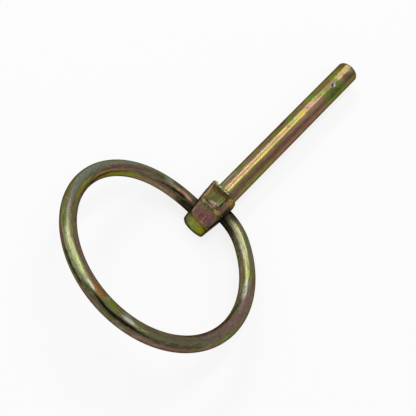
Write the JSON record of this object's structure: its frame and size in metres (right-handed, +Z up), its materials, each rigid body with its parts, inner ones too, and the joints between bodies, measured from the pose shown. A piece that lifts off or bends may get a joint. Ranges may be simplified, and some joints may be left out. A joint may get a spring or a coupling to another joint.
{
  "type": "lynch pin",
  "caption": "Lynch pin: a round steel pin with a tapered block head and a round spring ring that swings over the shaft and snaps shut; yellow zinc finish.",
  "frame": {"origin": "centre of the shoulder, where the shaft leaves the head, on the pin's axis", "axes": "+X along the shaft to its tip, +Y along the ring's hinge, to the left seen from the head, +Z up out of the marked face of the head"},
  "size_m": [0.0805, 0.04, 0.0182],
  "materials": {
    "pin_steel": "forged steel, yellow zinc passivate with a drifting iridescence",
    "ring_wire": "drawn spring wire, yellow zinc passivate, greyer and greener than the pin"
  },
  "bodies": {
    "pin": {"pin": "pin_steel"},
    "ring": {"spring_ring": "ring_wire"}
  },
  "joints": [
    {"name": "ring_swing", "type": "hinge", "parent": "pin", "child": "ring", "pos_m": [-0.00405, 0, 0], "axis": [0, 1, 0], "range_deg": [-22.7, 151.5], "deforming": ["spring_ring"]}
  ]
}
